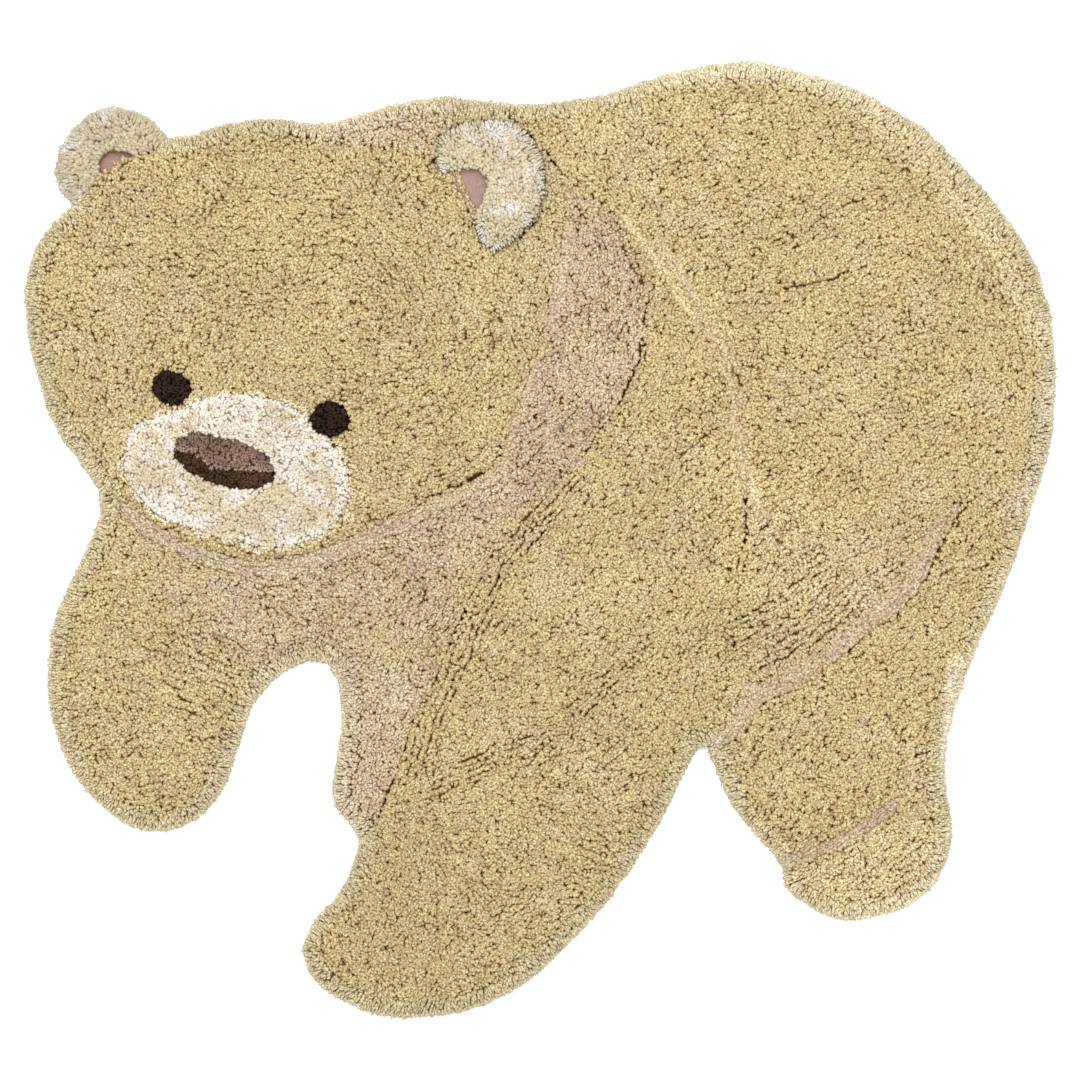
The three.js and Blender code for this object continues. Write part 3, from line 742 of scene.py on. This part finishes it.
def coreOf(name):
    # The mass of yarn below the tufts, painted dark as the shade between them: the solid itself, lowered
    # towards its foot and in the grooves
    longEdge, rimReach = 0.013, 6
    bm = bmesh.new()
    bm.from_mesh(cadNodes[name].data)
    bmesh.ops.remove_doubles(bm, verts=bm.verts, dist=1e-5)
    foot = min(v.co.z for v in bm.verts)
    cut = [edge for edge in bm.edges
           if edge.calc_length() > longEdge and max(v.co.z for v in edge.verts) > foot]
    bmesh.ops.subdivide_edges(bm, edges=cut, cuts=1, use_grid_fill=True)
    bmesh.ops.triangulate(bm, faces=bm.faces)
    x, y = np.array([v.co[:2] for v in bm.verts]).T / mm
    lowered = layOf(name, x, y)["drop"] * mm
    lowered += (pile["coreFollow"] if fields[name]["follow"] else pile["core"]) * mm
    depthIn, wayOut = rimAt(x, y)
    if not fields[name]["follow"]:
        lowered += rimTufts["coreDrop"] * mm * nearness(depthIn, rimTufts["reach"])
    shrunk = np.clip(rimTufts["coreInwards"] - depthIn, 0, rimReach)[:, None] * wayOut * mm
    for v, drop, inwards in zip(bm.verts, lowered, shrunk):
        v.co.xy -= Vector(inwards)
        if v.co.z > foot + 1e-4:
            v.co.z = foot + max(v.co.z - foot - drop, pile["coreLeast"] * mm)
    bm.verts.index_update()
    co = np.array([v.co for v in bm.verts]) / mm
    faces = np.array([[v.index for v in f.verts] for f in bm.faces])
    bm.free()
    return co, faces


# How the yarn's colour varies, from place to place and from tuft to tuft, and towards an edge
tint = {"mauvePlaces": 0.3, "mauveTufts": 0.3, "creamPlaces": 0.3, "fleeceTufts": 0.35, "toneTufts": 0.1,
        "creamRim": 0.75, "creamFlapRim": 0.2, "outerMauve": 0.25, "outerCream": 0.85, "outerTone": 1.03}


def tintTufts(name, rng, x, y, lay, nearRim, depthIn):
    spread = lambda: rng.uniform(-1, 1, x.shape)
    mottle = waves(x, y, 9, 21) * 0.6 + waves(x, y, 27, 22) * 0.5
    mauve = lay["mauve"] + tint["mauvePlaces"] * mottle + tint["mauveTufts"] * spread()
    drift = waves(x, y, 19, 23) * 0.7 + waves(x, y, 55, 26) * 0.6
    atRim = tint["creamRim"] if name in groundFields else tint["creamFlapRim"]
    cream = lay["cream"] + atRim * nearRim ** 1.2 + tint["creamPlaces"] * ease(0.0, 0.9, drift)
    if fields[name]["slot"] == "cream_shag":
        cream = cream + 0.6 * waves(x, y, 24, 24) + 0.5 * waves(x, y, 9, 28) + tint["fleeceTufts"] * spread()
    tone = lay["tone"] + 0.035 * waves(x, y, 60, 25) + 0.03 * waves(x, y, 14, 27)
    tone = tone + tint["toneTufts"] * spread()
    outermost = depthIn < rimTufts["rows"][0] + 0.4
    return {
        "mauve": np.clip(mauve + tint["outerMauve"] * outermost, 0, 1),
        "cream": np.clip(cream * np.where(outermost, tint["outerCream"], 1), 0, 1),
        "tone": tone * np.where(outermost, tint["outerTone"], 1),
    }


def growPile(name):
    # Every tuft of a field: where it stands, how high it is, how it leans, and its colours
    field = fields[name]
    isFlap = name == "flap_ear_pile"
    rng = np.random.default_rng(1000 + list(fields).index(name))
    x, y, solidTop = placesFor(name)
    depthIn, wayOut = rimAt(x, y)
    rimX, rimY = ([], []) if field["follow"] else rimPlaces(name)
    if len(rimX):
        inner = depthIn > rimTufts["rows"][-1] + rimTufts["clear"]
        x, y = np.concatenate([x[inner], rimX]), np.concatenate([y[inner], rimY])
        solidTop = np.concatenate([solidTop[inner], np.zeros(len(rimX))])
        depthIn, wayOut = rimAt(x, y)
    lay = layOf(name, x, y)
    x, y = x + lay["push"][:, 0], y + lay["push"][:, 1]
    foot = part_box(name)[0].z / mm
    top, nearRim = solidTop, np.zeros(x.shape)
    if not field["follow"]:
        nearRim = nearness(depthIn, rimTufts["reach"])
        top = np.maximum(lay["top"], solidTop - flapEar["lapSink"])
        top = top - (top - foot) * rimTufts["low"] * nearRim ** 1.7

    # Clumps with crevices between them, and single tufts that have sunk
    toX, toY, away, crevice = clumpsAt(x, y)
    settled = 1 - pile["settle"] * lay["smooth"]
    ruffle = 0.35 + 0.95 * ease(-0.5, 0.5, waves(x, y, pile["calmSize"], 71) + 0.5 * waves(x, y, 24, 72))
    ruffle = ruffle * settled * (1 - 0.6 * nearRim) * field["ruffle"]
    pits = (rng.uniform(0, 1, x.shape) < field["pits"]) * rng.uniform(0.3, 1, x.shape)
    sunk = (crevice * clump["creviceDepth"] + pits * pile["pitDepth"]) * ruffle
    tip = top - lay["drop"] - sunk - clump["dome"] * away ** 2 * ruffle
    tip += pile["loose"] * (1 + 1.2 * nearRim) * rng.uniform(-1, 1, x.shape)
    root = foot + (tip - foot) * pile["rooted"]
    root = np.where(nearRim > rimTufts["longFrom"], foot + 0.3, root)
    tip = np.maximum(tip, root + pile["shortest"])

    # The lean: to the middle of the clump, in wide eddies, at random, and outwards at an edge
    leanX = toX * clump["gather"] + pile["lean"] * waves(x, y, pile["leanSize"], 61) * settled
    leanY = toY * clump["gather"] + pile["lean"] * waves(x, y, pile["leanSize"], 62) * settled
    leanX += pile["scatter"] * rng.uniform(-1, 1, x.shape) + lay["comb"][:, 0]
    leanY += pile["scatter"] * rng.uniform(-1, 1, x.shape) + lay["comb"][:, 1]
    if isFlap:
        nearRim, wayOut = flapEdgeAt(x, y)
        depthIn = (1 - nearRim) * flapEar["reach"] + 3
        toBare = lineAt(x, y, flapEar["bare"], closed=True)[0]
        lay["cream"] += flapEar["white"] * ease(*flapEar["whiteFrom"], toBare)
    fan = rimTufts["lean"] * nearRim ** 1.3 * rng.uniform(0.8, 1.1, x.shape)
    fan *= flapEar["fan"] if isFlap else 1
    fan = np.minimum(fan, np.clip(depthIn - 1.2, 0.3, None) + rng.uniform(-0.4, 0.4, x.shape))
    leanX = leanX * (1 - 0.6 * nearRim) + wayOut[:, 0] * fan
    leanY = leanY * (1 - 0.6 * nearRim) + wayOut[:, 1] * fan

    tufts = {"x": x, "y": y, "root": root, "tip": tip, "leanX": leanX, "leanY": leanY}
    tufts.update(tintTufts(name, rng, x, y, lay, nearRim, depthIn))
    girth = field["pitch"] / 2 * pile["girth"] * field["plump"] * rng.uniform(0.8, 1.2, x.shape)
    tufts["girth"] = girth * (1 - 0.2 * nearRim) * (1 + 0.3 * lay["smooth"])
    tufts["twist"] = rng.uniform(0, 2 * math.pi, x.shape)
    point = pile["point"] * rng.uniform(0.7, 1.3, x.shape)
    tufts["point"] = point * (1 + 1.2 * nearRim) * (1 - 0.4 * lay["smooth"])
    # Tufts sunk into pits, crevices and lowered bands get more of the dark root colour: painted shade
    tufts["sunk"] = np.clip((lay["drop"] * 0.3 + sunk) / 14, 0, 0.4)
    isLong = nearRim > rimTufts["longFrom"]
    parts = []
    for kind, chosen in ((shortTuft, ~isLong), (longTuft, isLong)):
        if chosen.any():
            parts.append(bristle(kind, {key: value[chosen] for key, value in tufts.items()}))
    return parts


def pileObject(name):
    # One mesh for a field: its core and every tuft, each with the yarn's attributes and a square of the map
    parts = growPile(name)
    coreCo, coreFaces = coreOf(name)
    grid = math.ceil(math.sqrt(sum(len(part["co"]) for part in parts) + len(coreFaces)))

    def squareOf(cell):
        return np.stack([cell % grid, cell // grid], -1)

    coreUv = np.array([[0.06, 0.06], [0.94, 0.06], [0.5, 0.94]])
    cos, faces = [coreCo], [coreFaces]
    uvs = [(coreUv[None] + squareOf(np.arange(len(coreFaces)))[:, None]) / grid]
    # The core's colour is painted shade: low tone and mostly the dark root colour
    coreValues = {"depth": 0.9, "tone": 0.6, "mauve": fields[name]["mauve"], "cream": 0.0}
    values = {key: [np.full(len(coreCo), value)] for key, value in coreValues.items()}
    start, used = len(coreCo), len(coreFaces)
    for part in parts:
        count, corners = part["co"].shape[:2]
        cos.append(part["co"].reshape(-1, 3))
        faces.append((part["faces"][None] + start + corners * np.arange(count)[:, None, None]).reshape(-1, 3))
        squares = squareOf(used + np.arange(count))[:, None, None]
        uvs.append(((0.03 + 0.94 * part["uv"][None] + squares) / grid).reshape(-1, 3, 2))
        values["depth"].append(part["depth"].ravel())
        for key in ("tone", "mauve", "cream"):
            values[key].append(np.repeat(part["tufts"][key], corners))
        start += count * corners
        used += count
    co, face = np.concatenate(cos) * mm, np.concatenate(faces)
    mesh = bpy.data.meshes.new(name + "_tufts")
    mesh.vertices.add(len(co))
    mesh.vertices.foreach_set("co", co.astype(np.float32).ravel())
    mesh.loops.add(face.size)
    mesh.loops.foreach_set("vertex_index", face.astype(np.int32).ravel())
    mesh.polygons.add(len(face))
    mesh.polygons.foreach_set("loop_start", np.arange(0, face.size, 3, dtype=np.int32))
    mesh.uv_layers.new(name="OFBake").uv.foreach_set("vector", np.concatenate(uvs).astype(np.float32).ravel())
    for key, value in values.items():
        layer = mesh.attributes.new(key, "FLOAT", "POINT")
        layer.data.foreach_set("value", np.concatenate(value).astype(np.float32))
    mesh.update(calc_edges=True)
    mesh.validate()
    piece = bpy.data.objects.new(name + "_tufts", mesh)
    bpy.context.scene.collection.objects.link(piece)
    print(name, "tufts", used - len(coreFaces), "triangles", len(face))
    return piece


# Colours of the yarns, and how dark and light the flecks in them are. The root colour is painted shade: each
# tuft's colour darkens towards it further down in the pile
yarns = {
    "gold_shag": {"yarn": "cabb90", "mauve": "c4b49c", "cream": "dcd2b6", "root": "9c7432", "sheen": 0.03,
                  "fleck": (0.43, 1.48)},
    "mauve_shag": {"yarn": "cabb90", "mauve": "c4b49c", "cream": "dcd2b6", "root": "9a763c", "sheen": 0.03,
                   "fleck": (0.43, 1.48)},
    "cream_shag": {"yarn": "d0c5a8", "mauve": "c6b7a1", "cream": "e6e2dd", "root": "c0a67e", "sheen": 0.04,
                   "fleck": (0.72, 1.22)},
    "taupe_shag": {"yarn": "836a5b", "mauve": "9c8076", "cream": "b4988e", "root": "45312a", "sheen": 0.01,
                   "fleck": (0.45, 1.48)},
    "brown_shag": {"yarn": "4c3628", "mauve": "4c3628", "cream": "7a5e4c", "root": "1c0e06", "sheen": 0.0,
                   "fleck": (0.42, 1.55)},
    "dark_shag": {"yarn": "392a22", "mauve": "392a22", "cream": "705c4a", "root": "060301", "sheen": 0.0,
                  "fleck": (0.35, 1.5)},
}

mixA, mixB, mixShare, mixOut = 6, 7, 0, 2  # sockets of a Mix node that mixes colours


def colourOf(code):
    channels = [int(code[i:i + 2], 16) / 255 for i in (0, 2, 4)]
    linear = [c / 12.92 if c <= 0.04045 else ((c + 0.055) / 1.055) ** 2.4 for c in channels]
    return (*linear, 1)


def setInputs(node, values):
    for name, value in values.items():
        node.inputs[name].default_value = value


def shagGroup():
    # Colour and fibre height of a tuft from its attributes: painted shade from tip to root, mauve, cream and
    # tone
    tree = bpy.data.node_groups.new("shagYarn", "ShaderNodeTree")
    for name in ("Yarn", "Mauve", "Cream", "Root"):
        tree.interface.new_socket(name=name, in_out="INPUT", socket_type="NodeSocketColor")
    for name in ("Fibre", "Dark", "Light"):
        tree.interface.new_socket(name=name, in_out="INPUT", socket_type="NodeSocketFloat")
    tree.interface.new_socket(name="Color", in_out="OUTPUT", socket_type="NodeSocketColor")
    tree.interface.new_socket(name="Height", in_out="OUTPUT", socket_type="NodeSocketFloat")
    nodes, link = tree.nodes, tree.links.new
    given, made = nodes.new("NodeGroupInput"), nodes.new("NodeGroupOutput")

    def attribute(name):
        node = nodes.new("ShaderNodeAttribute")
        node.attribute_name = name
        return node.outputs["Fac"]

    def blended(first, second, share, kind="MIX"):
        node = nodes.new("ShaderNodeMix")
        node.data_type = "RGBA"
        node.blend_type = kind
        for socket, value in ((mixA, first), (mixB, second), (mixShare, share)):
            if isinstance(value, float):
                node.inputs[socket].default_value = value
            else:
                link(value, node.inputs[socket])
        return node.outputs[mixOut]

    place = nodes.new("ShaderNodeTexCoord").outputs["Object"]
    fibre = nodes.new("ShaderNodeTexNoise")
    link(place, fibre.inputs["Vector"])
    link(given.outputs["Fibre"], fibre.inputs["Scale"])
    setInputs(fibre, {"Detail": 3})
    fleck = nodes.new("ShaderNodeMapRange")
    setInputs(fleck, {"From Min": 0.32, "From Max": 0.68})
    link(fibre.outputs[0], fleck.inputs["Value"])
    link(given.outputs["Dark"], fleck.inputs["To Min"])
    link(given.outputs["Light"], fleck.inputs["To Max"])
    shade = nodes.new("ShaderNodeMath")
    shade.operation = "MULTIPLY"
    link(fleck.outputs[0], shade.inputs[0])
    link(attribute("tone"), shade.inputs[1])
    shadeShare = nodes.new("ShaderNodeMath")
    shadeShare.operation = "POWER"
    shadeShare.inputs[1].default_value = 1.25
    link(attribute("depth"), shadeShare.inputs[0])
    body = blended(given.outputs["Yarn"], given.outputs["Mauve"], attribute("mauve"))
    body = blended(body, given.outputs["Cream"], attribute("cream"))
    # Painted shade: mixes in the dark root colour by how far down in the pile the point lies
    body = blended(body, given.outputs["Root"], shadeShare.outputs[0])
    link(blended(body, shade.outputs[0], 1.0, "MULTIPLY"), made.inputs["Color"])
    link(fibre.outputs[0], made.inputs["Height"])
    return tree


yarnGroup = shagGroup()


def newMaterial(name):
    material = bpy.data.materials.new(name)
    material.use_nodes = True
    return material, material.node_tree.nodes, material.node_tree.links.new


def yarnMaterial(slot):
    material, nodes, link = newMaterial(slot)
    surface = nodes["Principled BSDF"]
    yarn = nodes.new("ShaderNodeGroup")
    yarn.node_tree = yarnGroup
    colours = {name: colourOf(yarns[slot][name.lower()]) for name in ("Yarn", "Mauve", "Cream", "Root")}
    setInputs(yarn, colours)
    dark, light = yarns[slot]["fleck"]
    setInputs(yarn, {"Fibre": 470, "Dark": dark, "Light": light})
    bump = nodes.new("ShaderNodeBump")
    setInputs(bump, {"Strength": 0.35, "Distance": 0.0006})
    link(yarn.outputs["Color"], surface.inputs["Base Color"])
    link(yarn.outputs["Height"], bump.inputs["Height"])
    link(bump.outputs["Normal"], surface.inputs["Normal"])
    setInputs(surface, {"Roughness": 0.92, "Specular IOR Level": 0.06, "Sheen Weight": yarns[slot]["sheen"],
                        "Sheen Roughness": 0.5})
    return material


# The canvas: gap between its threads, and the colours of both cloths. The backing cloth's colours are made
# lighter to make up for the shade of the pile round the left ear's bare canvas, so they are partly painted
# light
canvas = {"pitch": 1.25, "backing_cloth": {"thread": "d0ad9d", "gap": "98786c"},
          "flap_ear_cloth": {"thread": "ad9287", "gap": "7f665e"}}


def canvasMaterial(cloth):
    # Plain weave: two sets of threads that pass over each other, with slubs
    material, nodes, link = newMaterial("canvas_" + cloth)
    surface = nodes["Principled BSDF"]
    place = nodes.new("ShaderNodeTexCoord").outputs["Object"]
    threads = []
    for axis in ("X", "Y"):
        wave = nodes.new("ShaderNodeTexWave")
        wave.bands_direction = axis
        setInputs(wave, {"Scale": 0.314 / (canvas["pitch"] * mm), "Distortion": 0.6, "Detail Scale": 3})
        link(place, wave.inputs["Vector"])
        threads.append(wave.outputs["Fac"])
    weave = nodes.new("ShaderNodeMath")
    weave.operation = "MULTIPLY"
    link(threads[0], weave.inputs[0])
    link(threads[1], weave.inputs[1])
    slub = nodes.new("ShaderNodeTexNoise")
    setInputs(slub, {"Scale": 240, "Detail": 4})
    link(place, slub.inputs["Vector"])
    share = nodes.new("ShaderNodeMath")
    share.operation = "MULTIPLY_ADD"
    share.inputs[1].default_value = 0.45
    share.use_clamp = True
    link(weave.outputs[0], share.inputs[0])
    link(slub.outputs[0], share.inputs[2])
    colour = nodes.new("ShaderNodeMix")
    colour.data_type = "RGBA"
    setInputs(colour, {mixA: colourOf(canvas[cloth]["gap"]), mixB: colourOf(canvas[cloth]["thread"])})
    link(share.outputs[0], colour.inputs[mixShare])
    link(colour.outputs[mixOut], surface.inputs["Base Color"])
    bump = nodes.new("ShaderNodeBump")
    setInputs(bump, {"Strength": 0.6, "Distance": 0.0004})
    link(weave.outputs[0], bump.inputs["Height"])
    link(bump.outputs["Normal"], surface.inputs["Normal"])
    setInputs(surface, {"Roughness": 0.9, "Specular IOR Level": 0.25})
    return material


materials = {slot: yarnMaterial(slot) for slot in yarns}

for name in fields:
    piece = pileObject(name)
    piece.data.materials.append(materials[fields[name]["slot"]])
    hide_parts(name)
    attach(piece, "root")
print("pile done")

# The two cloths keep their solids and get the canvas
sheets = {
    "backing_cloth": {"flat": (1.197, 1.111), "area": 0.968, "rests": []},
    "flap_ear_cloth": {"flat": (0.1215, 0.147), "area": 0.0119, "rests": ["neck_and_chest_pile"]},
}
for name, sheet in sheets.items():
    cloth = cadNodes[name]
    cloth.data.materials.clear()
    cloth.data.materials.append(canvasMaterial(name))
print("cloths done")

# Floor, light and camera, in metres
studio = {
    "floor": "fafafa", "floorSize": 30, "floorDrop": 0.0003, "glow": 0.3, "world": 1.05,
    "key": {"place": (-0.3, 1.0, 3.3), "size": 2.0, "power": 80},
    "cameraHeight": 4.0, "frameWidth": 1.2558, "aim": (0.0, -0.0007), "sensor": 36,
}
floorMesh = bpy.data.meshes.new("floor")
bm = bmesh.new()
bmesh.ops.create_grid(bm, x_segments=1, y_segments=1, size=studio["floorSize"] / 2)
bmesh.ops.translate(bm, verts=bm.verts, vec=(0, 0, -studio["floorDrop"]))
bm.to_mesh(floorMesh)
bm.free()
floor = bpy.data.objects.new("floor", floorMesh)
bpy.context.scene.collection.objects.link(floor)
floorMaterial, nodes, _ = newMaterial("floor")
setInputs(nodes["Principled BSDF"], {"Base Color": colourOf(studio["floor"]), "Roughness": 0.9,
                                     "Emission Color": (1, 1, 1, 1), "Emission Strength": studio["glow"]})
floorMesh.materials.append(floorMaterial)
floor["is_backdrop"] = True

world = bpy.data.worlds.new("studio")
world.use_nodes = True
setInputs(world.node_tree.nodes["Background"], {"Color": (1, 1, 1, 1), "Strength": studio["world"]})
bpy.context.scene.world = world

key = bpy.data.lights.new("key", "AREA")
key.energy = studio["key"]["power"]
key.size = studio["key"]["size"]
keyObject = bpy.data.objects.new("key", key)
keyObject.location = studio["key"]["place"]
keyObject.rotation_euler = (-Vector(studio["key"]["place"])).to_track_quat("-Z", "Y").to_euler()
bpy.context.scene.collection.objects.link(keyObject)

lens = bpy.data.cameras.new("camera")
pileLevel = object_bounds()[1].z * 0.7  # height of most tips, where the frame's width is measured
lens.sensor_width = studio["sensor"]
lens.lens = lens.sensor_width * (studio["cameraHeight"] - pileLevel) / studio["frameWidth"]
camera = bpy.data.objects.new("camera", lens)
camera.location = (*studio["aim"], studio["cameraHeight"])
bpy.context.scene.collection.objects.link(camera)
bpy.context.scene.camera = camera
bpy.context.scene.view_settings.view_transform = "Standard"
print("studio done")

print("scene done")
